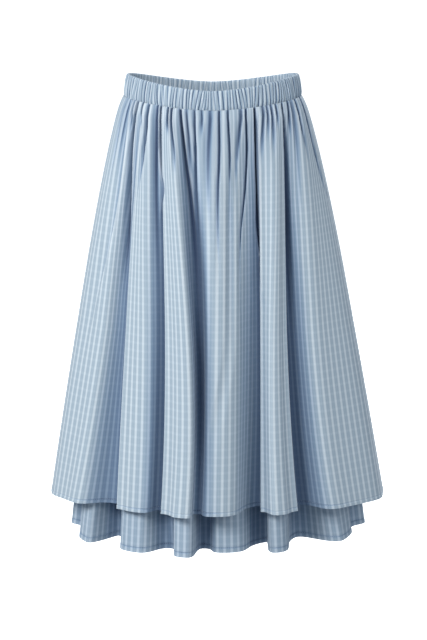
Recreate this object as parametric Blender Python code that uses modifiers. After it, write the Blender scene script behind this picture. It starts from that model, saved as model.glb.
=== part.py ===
"""Two-layer gathered skirt with an elastic waistband, filled out as if worn.

Metres, +Z up, +X to the viewer's right, the front faces -Y. The origin is the centre of the
waistband, where the skirt is held. A panel is lofted through plan sections. Each section is a
smooth line through the crests and valleys of the folds, which fall from the waist to the hem.
"""
import math

import bpy
import numpy as np

MM = 0.001

# Waistband: the front and back dip, the sides stand higher.
BAND_TOP_FRONT = 15.0
BAND_TOP_RISE = 21.0
SEAM_FRONT = -15.0
SEAM_RISE = 16.0
RISE_POWER = 1.6
BAND_WALL = 3.0
BAND_TOP_HALF = (139.0, 92.0)
SEAM_HALF = (144.0, 96.5)
BAND_BULGE = 0.8
RIBS_A_HALF = 46
RIB_HEIGHT = 1.9
RIB_LEAST = 0.6
RIB_COLUMNS = ("up", "height")
RIB_CUT = ((0.0, 0.55), (0.5, 1.0), (1.0, 0.75))

# Cloth panels.
CLOTH_WALL = 1.4
PIECE_GAP = 0.3
FLARE_POWER = 0.8
EARLY_GROWTH = 0.45
EARLY_REACH = 0.09
SWAY = 3.0
OUTER_HEM_HALF = (278.0, 196.0)
OUTER_HEM_Z = -660.0
UNDER_HEM_HALF = (246.0, 178.0)
UNDER_HEM_Z = -731.0
UNDER_SIDE_RISE = 14.0
VALLEY_SAG = 0.03
SEAM_STRIP = 2.0
OUTER_CLOTH_WIDTH = 1000.0
UNDER_CLOTH_WIDTH = 900.0
EVEN_RUN = 1.0 / 3.0
SIDE_SHARE = 0.25
SECTION_SAMPLES = 28
SHARP_ANGLE = 50.0

# Gathers below the seam, on one panel.
GATHERS_A_PANEL = 28
GATHER_SEAM = 0.6
GATHER_HEIGHT = 5.5
GATHER_FULL = 0.045
GATHER_REACH = 0.28
GATHER_LEAST = 0.55
GATHER_REACH_SPREAD = (0.45, 1.35)
GATHER_WOBBLES = ((0.006, 5, 0.7), (0.004, 11, 2.1))

# Levels as fractions of the way from the seam to the hem.
OUTER_FINE_LEVELS = (0.0, 0.03, 0.08, 0.14, 0.21)
OUTER_COARSE_LEVELS = (0.30, 0.41, 0.53, 0.65, 0.77, 0.885, 1.0)
UNDER_LEVELS = (0.0, 0.04, 0.11, 0.22, 0.36, 0.52, 0.68, 0.84, 1.0)
UNDER_COLUMNS = 44

BLUE = (0.50, 0.58, 0.68, 1.0)
PALE_BLUE = (0.58, 0.65, 0.74, 1.0)

# Each fold line is a row: its place in plan at the hem, how far across it lies halfway down and
# at the seam (mm), and how far its top or bottom runs on before the side of the fold turns.
FOLD_COLUMNS = ("name", "hem_x", "hem_y", "mid_x", "top_x", "run_left", "run_right")

OUTER_FRONT_FOLDS = (
    ("left side seam", -275, -6, -221, -144, 0.5, 0.6),
    ("left crest", -244, -77, -188, -131, 0.5, 0.9),
    ("valley 1", -166, -90, -148, -121, 0.7, 0.5),
    ("crest 2", -134, -154, -122, -105, 1.0, 0.6),
    ("valley 2", -94, -126, -88, -89, 0.5, 0.6),
    ("crest 3", -53, -195, -54, -70, 1.0, 1.1),
    ("valley 3", -23, -128, -27, -52, 0.4, 0.4),
    ("crest 4", 0, -185, 10, 10, 0.9, 0.4),
    ("valley 4", 68, -92, 71, 72, 0.8, 0.6),
    ("crest 5", 106, -173, 99, 97, 1.2, 0.9),
    ("valley 5", 152, -86, 130, 119, 0.6, 0.8),
    ("crest 6", 214, -124, 172, 135, 0.7, 0.8),
    ("right side seam", 281, -16, 224, 144, 0.5, 0.5),
)
OUTER_BACK_FOLDS = (
    ("right side seam", 281, -16, 224, 144, 0.5, 0.6),
    ("back valley 1", 230, 76, 190, 132, 0.6, 0.7),
    ("back crest 1", 200, 136, 164, 118, 0.7, 0.7),
    ("back valley 2", 136, 106, 120, 98, 0.7, 0.7),
    ("back crest 2", 94, 179, 84, 76, 0.7, 0.7),
    ("back valley 3", 48, 124, 47, 44, 0.7, 0.7),
    ("back crest 3", 6, 194, 12, 16, 0.7, 0.7),
    ("back valley 4", -42, 114, -34, -20, 0.7, 0.6),
    ("back crest 4", -88, 180, -77, -58, 0.7, 0.7),
    ("back valley 5", -134, 100, -121, -90, 0.7, 0.7),
    ("back crest 5", -182, 144, -160, -116, 0.7, 0.7),
    ("back valley 6", -222, 74, -188, -132, 0.7, 0.7),
    ("left side seam", -275, -6, -221, -144, 0.6, 0.5),
)
UNDER_FRONT_FOLDS = (
    ("left side seam", -237, -2, -199, -141, 0.5, 0.5),
    ("left valley", -206, -34, -180, -134, 0.5, 0.5),
    ("left crest", -199, -70, -169, -130, 0.6, 0.6),
    ("valley 1", -162, -44, -144, -121, 0.6, 0.6),
    ("crest 2", -128, -141, -117, -105, 0.6, 0.5),
    ("valley 2", -80, -106, -82, -89, 0.5, 0.6),
    ("crest 3", -52, -175, -55, -70, 0.6, 0.7),
    ("valley 3", -24, -108, -28, -52, 0.5, 0.6),
    ("crest 4", 6, -132, 8, 10, 0.6, 0.4),
    ("valley 4", 68, -54, 70, 72, 0.8, 0.5),
    ("crest 5", 106, -142, 98, 97, 0.6, 0.6),
    ("valley 5", 144, -50, 127, 119, 0.6, 0.6),
    ("crest 6", 210, -90, 165, 134, 0.6, 0.6),
    ("right valley", 224, -38, 188, 138, 0.6, 0.5),
    ("right side seam", 247, -2, 203, 141, 0.5, 0.5),
)
UNDER_BACK_FOLDS = (
    ("right side seam", 247, -2, 203, 141, 0.5, 0.5),
    ("back valley 1", 202, 50, 175, 132, 0.6, 0.6),
    ("back crest 1", 178, 108, 153, 118, 0.6, 0.6),
    ("back valley 2", 128, 78, 115, 98, 0.6, 0.6),
    ("back crest 2", 88, 152, 81, 76, 0.6, 0.6),
    ("back valley 3", 46, 94, 45, 44, 0.6, 0.6),
    ("back crest 3", 6, 170, 11, 16, 0.6, 0.6),
    ("back valley 4", -40, 86, -33, -20, 0.6, 0.6),
    ("back crest 4", -82, 154, -75, -58, 0.6, 0.6),
    ("back valley 5", -126, 70, -115, -90, 0.6, 0.6),
    ("back crest 5", -162, 114, -148, -116, 0.6, 0.6),
    ("back valley 6", -196, 48, -173, -132, 0.6, 0.6),
    ("left side seam", -237, -2, -199, -141, 0.5, 0.5),
)

# Short troughs between the main folds of the outer front: place across the cloth as a share of its
# width, half width (mm), depth (mm), and the share of the length where each starts and ends.
TROUGH_COLUMNS = ("across", "half_width", "depth", "start", "end")
OUTER_FRONT_TROUGHS = (
    (0.06, 24, 5.0, 0.00, 0.50),
    (0.53, 26, 7.0, 0.00, 0.60),
    (0.91, 26, 6.0, 0.00, 0.55),
)
OUTER_BACK_TROUGHS = (
    (0.13, 26, 6.0, 0.00, 0.50),
    (0.66, 26, 6.0, 0.00, 0.50),
)


def as_row(columns, values):
    """A table row as a dictionary, under the names of its columns."""
    return dict(zip(columns, values))


def clear_scene():
    for existing in list(bpy.data.objects):
        bpy.data.objects.remove(existing, do_unlink=True)


def fabric_material(name, colour):
    material = bpy.data.materials.new(name)
    material.use_nodes = True
    shader = material.node_tree.nodes["Principled BSDF"]
    shader.inputs["Base Color"].default_value = colour
    shader.inputs["Roughness"].default_value = 0.85
    shader.inputs["Metallic"].default_value = 0.0
    return material


def side_rise(angle):
    """Share of the rise at a place round the waist: none at front and back, all at the sides."""
    return np.abs(np.sin(angle)) ** RISE_POWER


def fold_growth(level):
    """How much of its hem depth a fold has at a level."""
    return EARLY_GROWTH * (1.0 - math.exp(-level / EARLY_REACH)) + (1.0 - EARLY_GROWTH) * level


def half_sizes(level, seam_half, hem_half):
    """Half the width and half the depth of the skirt at a level, without its folds."""
    share = level ** FLARE_POWER
    return [a + (b - a) * share for a, b in zip(seam_half, hem_half)]


def fold_lines(rows, seam_half, hem_half):
    """Turn the rows into angles round the waist and shares of the half sizes."""
    middle_half = half_sizes(0.5, seam_half, hem_half)
    lines = []
    for values in rows:
        row = as_row(FOLD_COLUMNS, values)
        across = row["hem_x"] / hem_half[0]
        ahead = -row["hem_y"] / hem_half[1]
        hem_angle = math.atan2(across, ahead)
        hem_reach = math.hypot(across, ahead)
        mid_reach = 1.0 - (1.0 - hem_reach) * fold_growth(0.5)
        mid_share = max(-1.0, min(1.0, row["mid_x"] / (middle_half[0] * mid_reach)))
        top_share = max(-1.0, min(1.0, row["top_x"] / seam_half[0]))
        mid_angle = math.asin(mid_share)
        top_angle = math.asin(top_share)
        if row["hem_y"] > 0:
            mid_angle = math.copysign(math.pi, mid_angle) - mid_angle
            top_angle = math.copysign(math.pi, top_angle) - top_angle
        if "seam" in row["name"]:
            mid_angle = top_angle = math.copysign(math.pi / 2.0, row["hem_x"])
        lines.append({"angles": (top_angle, mid_angle, hem_angle), "reach": hem_reach,
                      "run_left": row["run_left"], "run_right": row["run_right"]})
    turn = 2.0 * math.pi
    for before, line in zip(lines, lines[1:]):
        shifted = []
        for old, angle in zip(before["angles"], line["angles"]):
            while angle < old - 1.0:
                angle += turn
            shifted.append(angle)
        line["angles"] = tuple(shifted)
    return lines


def through_three(values, level):
    """The parabola through the values at the seam, halfway and at the hem."""
    top, mid, hem = values
    return (top * (2.0 * level - 1.0) * (level - 1.0) + mid * 4.0 * level * (1.0 - level)
            + hem * level * (2.0 * level - 1.0))


def plan_section(lines, level, seam_half, hem_half):
    """The panel's plan line at a level, from its first side seam to its second, in mm."""
    half_x, half_y = half_sizes(level, seam_half, hem_half)
    growth = fold_growth(level)
    stations = []
    for line in lines:
        angle = through_three(line["angles"], level)
        reach = 1.0 - (1.0 - line["reach"]) * growth
        place = np.array([half_x * reach * math.sin(angle), -half_y * reach * math.cos(angle)])
        along = np.array([half_x * math.cos(angle), half_y * math.sin(angle)])
        along /= np.linalg.norm(along)
        stations.append((place, along, line))
    q = np.linspace(0.0, 1.0, SECTION_SAMPLES, endpoint=False)[:, None]
    pieces = []
    for (start, start_along, first), (end, end_along, second) in zip(stations, stations[1:]):
        chord = np.linalg.norm(end - start)
        span = abs(np.dot(end - start, (start_along + end_along) / 2.0))
        span += SIDE_SHARE * (chord - span) * growth
        run_out = (EVEN_RUN + (first["run_right"] - EVEN_RUN) * growth) * span
        run_in = (EVEN_RUN + (second["run_left"] - EVEN_RUN) * growth) * span
        leave = start + start_along * run_out
        arrive = end - end_along * run_in
        pieces.append((1 - q) ** 3 * start + 3 * (1 - q) ** 2 * q * leave
                      + 3 * (1 - q) * q ** 2 * arrive + q ** 3 * end)
    pieces.append(stations[-1][0][None, :])
    return np.vstack(pieces)


def uneven(share):
    """Gathers are not evenly spaced: a steady place across the cloth, shifted a little."""
    wobble = 0.0
    for size, waves, start in GATHER_WOBBLES:
        wobble += size * (np.sin(2.0 * math.pi * waves * share + start) - math.sin(start))
    return share + wobble


def scatter(number):
    """A fixed value between 0 and 1 for each whole number, with no pattern to see."""
    value = np.sin(number * 12.9898 + 4.1) * 43758.5453
    return value - np.floor(value)


def gather_height(share, level):
    """How far a gather stands out of the cloth, in mm."""
    number = np.floor(share * GATHERS_A_PANEL - 1e-9)
    size = GATHER_LEAST + (1.0 - GATHER_LEAST) * scatter(number)
    least, most = GATHER_REACH_SPREAD
    reach = GATHER_REACH * (least + (most - least) * scatter(number + GATHERS_A_PANEL))
    rise = min(1.0, level / GATHER_FULL)
    fade = np.clip((reach - level) / (reach - 0.5 * GATHER_FULL), 0.0, 1.0)
    height = GATHER_SEAM + (GATHER_HEIGHT * size - GATHER_SEAM) * rise
    wave = 0.5 - 0.5 * np.cos(2.0 * math.pi * GATHERS_A_PANEL * share)
    return height * fade * wave


def trough_depth(across, level, cloth_width, troughs):
    """How far the short troughs press the cloth in, in mm."""
    depth = np.zeros_like(across)
    for values in troughs:
        row = as_row(TROUGH_COLUMNS, values)
        if not row["start"] < level < row["end"]:
            continue
        along = math.sin(math.pi * (level - row["start"]) / (row["end"] - row["start"]))
        away = (across - row["across"]) * cloth_width / row["half_width"]
        bowl = np.cos(0.5 * math.pi * np.clip(away, -1.0, 1.0)) ** 2
        depth += row["depth"] * along * bowl
    return depth


def cloth_row(layer, lines, level, shares, troughs):
    """The outer surface's points along one level of a panel, in metres."""
    section = plan_section(lines, level, layer["seam_half"], layer["hem_half"])
    steps = np.linalg.norm(np.diff(section, axis=0), axis=1)
    run = np.concatenate([[0.0], np.cumsum(steps)])
    across = uneven(shares) if layer["gathers"] else shares
    end_gap = 0.5 * PIECE_GAP / run[-1]
    stretch = end_gap + across * (1.0 - 2.0 * end_gap)
    x = np.interp(stretch * run[-1], run, section[:, 0])
    y = np.interp(stretch * run[-1], run, section[:, 1])
    slope_x = np.interp(stretch * run[-1], run, np.gradient(section[:, 0], run))
    slope_y = np.interp(stretch * run[-1], run, np.gradient(section[:, 1], run))
    length = np.hypot(slope_x, slope_y)
    out = np.zeros_like(x)
    if layer["gathers"]:
        out += gather_height(shares, level)
    out -= trough_depth(across, level, run[-1], troughs)
    half_x, half_y = half_sizes(level, layer["seam_half"], layer["hem_half"])
    angle = np.arctan2(x / half_x, -y / half_y)
    inset = (1.0 - np.hypot(x / half_x, y / half_y)) * half_y
    x = x + out * slope_y / length + SWAY * level
    y = y - out * slope_x / length
    seam_z = SEAM_FRONT + SEAM_RISE * side_rise(angle) - PIECE_GAP
    hem_z = layer["hem_z"] + layer["side_rise"] * np.sin(angle) ** 2 - VALLEY_SAG * inset
    z = seam_z + (hem_z - seam_z) * level
    return np.column_stack([x, y, z]) * MM


def panel_mesh(name, layer, rows, troughs):
    """An open sheet: fine columns where the gathers are, every other one below them."""
    lines = fold_lines(rows, layer["seam_half"], layer["hem_half"])
    strip = SEAM_STRIP / layer["cloth_width"]
    fine = [i / layer["columns"] for i in range(1, layer["columns"])]
    coarse = fine[1::2] if layer["coarse_levels"] else fine
    fine = [0.0, strip] + fine + [1.0 - strip, 1.0]
    coarse = [0.0, strip] + coarse + [1.0 - strip, 1.0]
    levels = [(level, fine) for level in layer["fine_levels"]]
    levels += [(level, coarse) for level in layer["coarse_levels"]]
    points = []
    starts = []
    for level, shares in levels:
        starts.append(len(points))
        points.extend(cloth_row(layer, lines, level, np.array(shares), troughs).tolist())
    faces = []
    for upper in range(len(levels) - 1):
        above = levels[upper][1]
        below = levels[upper + 1][1]
        for column in range(len(below) - 1):
            low_left = starts[upper + 1] + column
            low_right = low_left + 1
            high_left = starts[upper] + above.index(below[column])
            high_right = starts[upper] + above.index(below[column + 1])
            if high_right - high_left == 1:
                faces.append([low_left, low_right, high_right, high_left])
            else:
                high_middle = high_left + 1
                faces.append([low_left, high_middle, high_left])
                faces.append([low_left, low_right, high_middle])
                faces.append([low_right, high_right, high_middle])
    mesh = bpy.data.meshes.new(name)
    mesh.from_pydata(points, [], faces)
    return mesh


def add_object(name, mesh, material, parts):
    mesh.materials.append(material)
    mesh.shade_smooth()
    mesh.set_sharp_from_angle(angle=math.radians(SHARP_ANGLE))
    piece = bpy.data.objects.new(name, mesh)
    parts.objects.link(piece)
    return piece


def add_panel(name, layer, rows, troughs, material, parts):
    piece = add_object(name, panel_mesh(name, layer, rows, troughs), material, parts)
    wall = piece.modifiers.new("Cloth wall", "SOLIDIFY")
    wall.thickness = CLOTH_WALL * MM
    wall.offset = -1.0
    wall.use_even_offset = False
    return piece


def band_column(turn, rib):
    """One upright cut through the waistband: its outer points, then two plain inner ones."""
    rise = side_rise(turn)
    top = BAND_TOP_FRONT + BAND_TOP_RISE * rise
    bottom = SEAM_FRONT + SEAM_RISE * rise
    cut = []
    for values in RIB_CUT:
        row = as_row(RIB_COLUMNS, values)
        up = row["up"]
        out = RIB_HEIGHT * row["height"] * rib + BAND_BULGE * 4.0 * up * (1.0 - up)
        half_x = SEAM_HALF[0] + (BAND_TOP_HALF[0] - SEAM_HALF[0]) * up + out
        half_y = SEAM_HALF[1] + (BAND_TOP_HALF[1] - SEAM_HALF[1]) * up + out
        z = bottom + (top - bottom) * up
        cut.append((half_x * math.sin(turn) * MM, -half_y * math.cos(turn) * MM, z * MM))
    for (half_x, half_y), z in ((BAND_TOP_HALF, top), (SEAM_HALF, bottom)):
        inner_x = (half_x - BAND_WALL) * math.sin(turn)
        inner_y = -(half_y - BAND_WALL) * math.cos(turn)
        cut.append((inner_x * MM, inner_y * MM, z * MM))
    return cut


def add_band(name, middle_turn, material, parts):
    """Half of the waistband: a closed wall with ribs outside, from side seam to side seam."""
    columns = 2 * RIBS_A_HALF
    end_gap = 0.5 * PIECE_GAP / SEAM_HALF[1]
    points = []
    for column in range(columns + 1):
        share = column / columns
        turn = middle_turn + (share - 0.5) * (math.pi - 2.0 * end_gap)
        rib = (column % 2) * (RIB_LEAST + (1.0 - RIB_LEAST) * float(scatter(column)))
        points.extend(band_column(turn, rib))
    ring = len(points) // (columns + 1)
    faces = [list(range(ring)), [columns * ring + i for i in range(ring - 1, -1, -1)]]
    for column in range(columns):
        for i in range(ring):
            after = (i + 1) % ring
            here = column * ring
            there = here + ring
            faces.append([here + i, there + i, there + after, here + after])
    mesh = bpy.data.meshes.new(name)
    mesh.from_pydata(points, [], faces)
    return add_object(name, mesh, material, parts)


def build_skirt():
    parts = bpy.data.collections.new("gathered_skirt")
    bpy.context.scene.collection.children.link(parts)
    cloth = fabric_material("checked cotton", BLUE)
    casing = fabric_material("ruched casing", PALE_BLUE)
    outer = {
        "seam_half": SEAM_HALF, "hem_half": OUTER_HEM_HALF, "hem_z": OUTER_HEM_Z, "side_rise": 0.0,
        "cloth_width": OUTER_CLOTH_WIDTH, "gathers": True, "columns": 4 * GATHERS_A_PANEL,
        "fine_levels": OUTER_FINE_LEVELS, "coarse_levels": OUTER_COARSE_LEVELS,
    }
    tucked = CLOTH_WALL + PIECE_GAP
    under = {
        "seam_half": (SEAM_HALF[0] - tucked, SEAM_HALF[1] - tucked), "hem_half": UNDER_HEM_HALF,
        "hem_z": UNDER_HEM_Z, "side_rise": UNDER_SIDE_RISE, "cloth_width": UNDER_CLOTH_WIDTH,
        "gathers": False, "columns": UNDER_COLUMNS, "fine_levels": UNDER_LEVELS,
        "coarse_levels": (),
    }
    add_band("waistband_front", 0.0, casing, parts)
    add_band("waistband_back", math.pi, casing, parts)
    add_panel("outer_front", outer, OUTER_FRONT_FOLDS, OUTER_FRONT_TROUGHS, cloth, parts)
    add_panel("outer_back", outer, OUTER_BACK_FOLDS, OUTER_BACK_TROUGHS, cloth, parts)
    add_panel("under_front", under, UNDER_FRONT_FOLDS, (), cloth, parts)
    add_panel("under_back", under, UNDER_BACK_FOLDS, (), cloth, parts)


clear_scene()
build_skirt()
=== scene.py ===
"""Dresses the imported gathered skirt: fine checked cloth, ruched waistband, hems and stitches.

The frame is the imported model's: metres, +Z up, +X to the viewer's right, the front faces -Y. Sizes
held by the classes are in millimetres, and points become metres when a mesh is made.
"""

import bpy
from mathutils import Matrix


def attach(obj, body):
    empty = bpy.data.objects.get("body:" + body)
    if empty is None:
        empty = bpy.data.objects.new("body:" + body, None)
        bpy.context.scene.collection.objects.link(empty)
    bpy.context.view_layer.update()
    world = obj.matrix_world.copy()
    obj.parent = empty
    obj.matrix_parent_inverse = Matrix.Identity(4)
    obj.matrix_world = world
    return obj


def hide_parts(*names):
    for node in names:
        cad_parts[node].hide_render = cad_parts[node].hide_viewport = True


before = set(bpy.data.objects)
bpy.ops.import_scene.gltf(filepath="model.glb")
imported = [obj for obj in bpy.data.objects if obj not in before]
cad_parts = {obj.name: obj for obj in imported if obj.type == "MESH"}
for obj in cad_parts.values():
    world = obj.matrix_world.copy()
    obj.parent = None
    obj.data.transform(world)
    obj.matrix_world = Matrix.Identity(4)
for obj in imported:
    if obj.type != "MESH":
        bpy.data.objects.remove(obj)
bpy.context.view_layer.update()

import logging
import math
from dataclasses import dataclass, field
from enum import Enum

import bpy
import numpy as np
from mathutils import Vector

logging.basicConfig(level=logging.INFO, format="%(message)s")
log = logging.getLogger("skirt")

MM = 0.001
BODY = "root"


class FoldKind(Enum):
    """What a fold line is: a side seam, the top of a fold or the bottom of one."""

    SEAM = "seam"
    CREST = "crest"
    VALLEY = "valley"


class Side(Enum):
    """Front and back of the skirt, as the sign of the way they face along Y."""

    FRONT = -1
    BACK = 1


@dataclass(frozen=True)
class Fold:
    """One fold line from the waist to the hem.

    Attributes:
        kind: Side seam, crest or valley.
        hem: Place in plan at the hem, in mm.
        mid_x: How far across it lies halfway down, in mm.
        top_x: How far across it lies at the seam, in mm.
        run_left: How far its rounding runs before it, as a share of the span there.
        run_right: The same after it.
        fade: Share of its depth that is lost again towards the hem.
        shadow: How far the cloth on its open side lies in the shade of its lap, in mm.
    """

    kind: FoldKind
    hem: tuple[float, float]
    mid_x: float
    top_x: float
    run_left: float
    run_right: float
    fade: float = 0.0
    shadow: float = 0.0


@dataclass(frozen=True)
class Crease:
    """A gather or soft crease pressed in between the main folds.

    Its left side slopes gently and its right side is steep, as where cloth laps over.

    Attributes:
        path: How far across it lies at each of CREASE_LEVELS, as far down as it goes, in mm.
        end: Share of the length where it has faded out.
        depth: Its greatest depth, in mm.
        left: Width of its left side at its start, in mm.
        right: Width of its right side at its start, in mm.
        beside_fold: Whether it runs beside a main fold, where it holds longer and widens more.
        lap: How far the cloth on its right leans over it, in mm.
        start: Share of the length where it begins.
        dark: How much painted shade its bottom gets, 0 to 1.
    """

    path: tuple[float, ...]
    end: float
    depth: float
    left: float
    right: float
    beside_fold: bool = False
    lap: float = 0.0
    start: float = 0.0
    dark: float = 1.0


SEAM, CREST, VALLEY = FoldKind.SEAM, FoldKind.CREST, FoldKind.VALLEY

OUTER_FRONT_FOLDS = (
    Fold(SEAM, (-275, -6), -221, -144, 0.5, 0.6),
    Fold(CREST, (-244, -77), -188, -131, 0.5, 0.8),
    Fold(VALLEY, (-156, -98), -137, -110, 0.7, 0.2, shadow=95),
    Fold(CREST, (-160, -131), -140, -108, 0.25, 0.5),
    Fold(CREST, (-122, -157), -113, -103, 0.6, 0.6),
    Fold(VALLEY, (-84, -138), -76, -80, 0.6, 0.2, shadow=92),
    Fold(CREST, (-88, -164), -79, -78, 0.25, 0.5),
    Fold(CREST, (-47, -196), -46, -63, 0.7, 0.9),
    Fold(VALLEY, (-28, -134), -30, -50, 0.4, 0.3, 0.5),
    Fold(VALLEY, (-21, -134), -24, -46, 0.3, 0.3, 0.5, shadow=60),
    Fold(CREST, (-1, -185), 5, 8, 1.0, 0.6),
    Fold(VALLEY, (79, -102), 78, 68, 0.6, 0.2, shadow=34),
    Fold(CREST, (75, -150), 75, 70, 0.25, 0.5),
    Fold(CREST, (102, -174), 98, 95, 0.7, 0.6),
    Fold(CREST, (133, -146), 116, 106, 0.5, 0.25),
    Fold(VALLEY, (129, -104), 112, 107, 0.2, 0.7, shadow=120),
    Fold(CREST, (208, -126), 171, 135, 0.9, 0.8),
    Fold(SEAM, (281, -16), 224, 144, 0.5, 0.5),
)
OUTER_BACK_FOLDS = (
    Fold(SEAM, (281, -16), 224, 144, 0.5, 0.6),
    Fold(VALLEY, (230, 76), 190, 132, 0.6, 0.7),
    Fold(CREST, (200, 136), 164, 118, 0.7, 0.7),
    Fold(VALLEY, (136, 106), 120, 98, 0.7, 0.7),
    Fold(CREST, (94, 179), 84, 76, 0.7, 0.7),
    Fold(VALLEY, (48, 124), 47, 44, 0.7, 0.7),
    Fold(CREST, (6, 194), 12, 16, 0.7, 0.7),
    Fold(VALLEY, (-42, 114), -34, -20, 0.7, 0.6),
    Fold(CREST, (-88, 180), -77, -58, 0.7, 0.7),
    Fold(VALLEY, (-134, 100), -121, -90, 0.7, 0.7),
    Fold(CREST, (-182, 144), -160, -116, 0.7, 0.7),
    Fold(VALLEY, (-222, 74), -188, -132, 0.7, 0.7),
    Fold(SEAM, (-275, -6), -221, -144, 0.6, 0.5),
)
UNDER_FRONT_FOLDS = (
    Fold(SEAM, (-242, -2), -201, -141, 0.5, 0.5),
    Fold(VALLEY, (-218, -26), -182, -134, 0.5, 0.4),
    Fold(CREST, (-212, -84), -174, -130, 0.95, 0.8),
    Fold(VALLEY, (-158, -46), -143, -121, 0.6, 0.5),
    Fold(CREST, (-128, -143), -117, -105, 0.7, 0.6),
    Fold(VALLEY, (-74, -112), -80, -87, 0.5, 0.5),
    Fold(CREST, (-46, -176), -52, -69, 0.9, 0.55),
    Fold(VALLEY, (-19, -112), -25, -50, 0.5, 0.6),
    Fold(CREST, (14, -142), 13, 12, 0.8, 0.6),
    Fold(VALLEY, (84, -70), 77, 74, 0.6, 0.4),
    Fold(CREST, (102, -143), 97, 97, 1.0, 0.42),
    Fold(VALLEY, (131, -50), 120, 116, 0.4, 0.6),
    Fold(CREST, (214, -70), 170, 134, 0.8, 1.1),
    Fold(VALLEY, (226, -28), 188, 138, 0.4, 0.5),
    Fold(SEAM, (252, -2), 205, 141, 0.5, 0.5),
)
UNDER_BACK_FOLDS = (
    Fold(SEAM, (252, -2), 205, 141, 0.5, 0.5),
    Fold(VALLEY, (202, 50), 175, 132, 0.6, 0.6),
    Fold(CREST, (178, 108), 153, 118, 0.6, 0.6),
    Fold(VALLEY, (128, 78), 115, 98, 0.6, 0.6),
    Fold(CREST, (88, 152), 81, 76, 0.6, 0.6),
    Fold(VALLEY, (46, 94), 45, 44, 0.6, 0.6),
    Fold(CREST, (6, 170), 11, 16, 0.6, 0.6),
    Fold(VALLEY, (-40, 86), -33, -20, 0.6, 0.6),
    Fold(CREST, (-82, 154), -75, -58, 0.6, 0.6),
    Fold(VALLEY, (-126, 70), -115, -90, 0.6, 0.6),
    Fold(CREST, (-162, 114), -148, -116, 0.6, 0.6),
    Fold(VALLEY, (-196, 48), -173, -132, 0.6, 0.6),
    Fold(SEAM, (-242, -2), -201, -141, 0.5, 0.5),
)

# How long a crease holds before it fades, as a share of its length, and how much it widens.
LONG_HOLD, SHORT_HOLD = 0.4, 0.15
LONG_WIDENING, SHORT_WIDENING = 2.2, 0.8
# How round a crease's left and right sides are, and how much of each side gets the painted shade of its
# bottom.
LEFT_BEND, RIGHT_BEND = 1.2, 1.8
LEFT_CORE, RIGHT_CORE = 0.30, 0.55
# The depth in mm from which a crease's bottom gets its full painted shade.
DARK_DEPTH = 5.0
CREASE_LEVELS = (0.02, 0.10, 0.20, 0.30, 0.45, 0.60, 0.70, 0.90)
FRONT_CREASES = (
    Crease((-141, -153, -166), 0.26, 4.0, 3.5, 2.2),
    Crease((-137, -148, -159), 0.20, 4.0, 3.5, 2.2),
    Crease((-133, -142, -152, -164, -187, -211, -226), 0.78, 7.0, 16.0, 5.0, dark=0.25),
    Crease((-126, -131), 0.10, 4.5, 4.0, 2.4, lap=1.0),
    Crease((-120, -128, -133.5, -137.5, -144.5), 0.50, 10.5, 3.0, 2.6, True),
    Crease((-111, -112), 0.07, 5.5, 3.0, 1.8, lap=1.0),
    Crease((-101, -108, -118), 0.26, 7.0, 5.0, 2.6, lap=1.0),
    Crease((-88, -90, -91, -91, -90), 0.48, 5.0, 7.0, 5.0),
    Crease((-81, -80.5, -80, -80, -81), 0.34, 8.5, 3.6, 1.8, True),
    Crease((-70, -70), 0.08, 6.0, 3.2, 1.8, lap=1.0),
    Crease((-64, -61, -60), 0.20, 7.0, 4.0, 2.0, lap=1.5),
    Crease((-50, -45, -38, -32, -26), 0.50, 9.0, 3.2, 2.6, True),
    Crease((-40, -37, -36), 0.18, 6.5, 3.4, 2.0, lap=1.0),
    Crease((-28, -26, -26, -24), 0.36, 7.5, 3.6, 1.8, lap=1.2),
    Crease((-17, -19), 0.08, 4.0, 3.0, 2.0),
    Crease((-4, -8, -8, -6), 0.42, 4.0, 8.0, 6.0),
    Crease((11, 11, 8, 7, 9), 0.50, 6.5, 3.8, 2.2, lap=1.0),
    Crease((25, 27, 26, 26), 0.40, 5.0, 3.4, 1.9, lap=1.2, dark=0.8),
    Crease((25, 27, 26, 26, 26, 23, 12, -15), 0.95, 6.0, 7.0, 9.0, start=0.10, dark=0.15),
    Crease((45, 39, 35, 33), 0.30, 4.5, 5.0, 2.6, dark=0.6),
    Crease((53, 54, 51, 44, 42, 46), 0.62, 5.5, 3.8, 2.2, lap=1.2, dark=0.7),
    Crease((66, 68, 70.5, 72.5, 74), 0.54, 7.5, 2.4, 1.8, True),
    Crease((80, 77, 75), 0.16, 4.5, 3.4, 2.2, dark=0.6),
    Crease((87, 87), 0.10, 4.0, 3.0, 2.0, dark=0.6),
    Crease((94, 96, 96), 0.15, 4.5, 4.0, 2.4, dark=0.6),
    Crease((101, 103), 0.07, 4.0, 2.6, 1.8, dark=0.6),
    Crease((109, 113, 116, 118, 121), 0.60, 9.0, 1.7, 2.4, True),
    Crease((120, 122), 0.10, 4.5, 3.0, 1.8),
    Crease((127, 134, 136, 134), 0.38, 4.0, 6.0, 3.6, dark=0.4),
    Crease((134, 146, 158), 0.18, 4.5, 3.2, 2.0),
    Crease((144, 158, 176, 195), 0.34, 5.0, 4.0, 2.6),
)


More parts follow.
